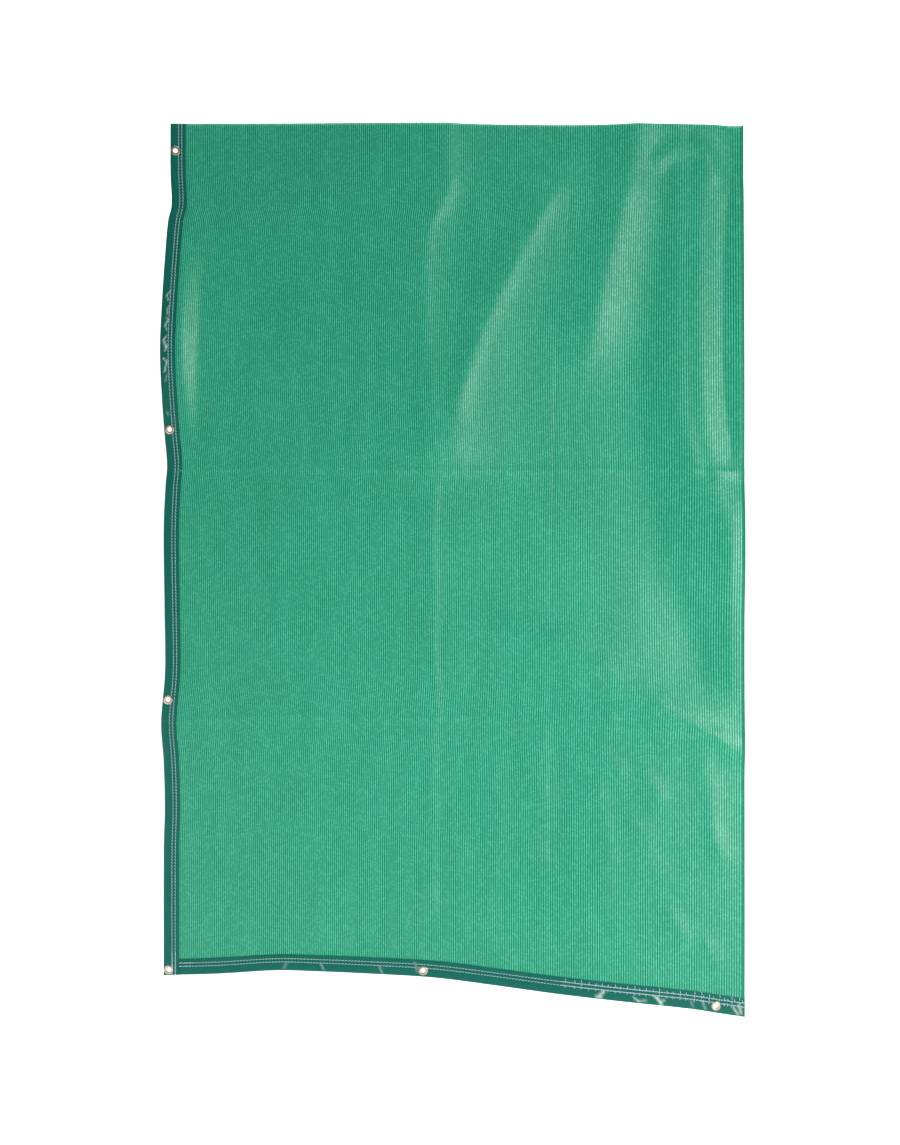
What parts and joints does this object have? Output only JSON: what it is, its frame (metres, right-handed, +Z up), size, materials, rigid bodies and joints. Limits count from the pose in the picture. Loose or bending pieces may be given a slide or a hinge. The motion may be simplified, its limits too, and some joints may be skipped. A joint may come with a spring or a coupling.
{
  "type": "screen net",
  "caption": "Hanging screen net of green knitted netting, bound along its left side and bottom with folded tape that carries metal eyelets.",
  "frame": {"origin": "middle of the net's top edge, where it hangs", "axes": "+X to the net's right as seen from the front, -Y out of its front face, +Z up"},
  "size_m": [1.067, 0.0411, 1.634],
  "materials": {
    "netting": "satin knitted tape yarn",
    "tape": "semi-gloss coated fabric",
    "eyelet": "nickel-plated, polished",
    "thread": "twisted sewing thread"
  },
  "bodies": {
    "root": {"net": "netting", "tape_left": "tape", "tape_bottom": "tape", "eyelet_left_1": "eyelet", "eyelet_left_2": "eyelet", "eyelet_left_3": "eyelet", "eyelet_corner": "eyelet", "eyelet_bottom_1": "eyelet", "eyelet_bottom_2": "eyelet"}
  },
  "joints": []
}
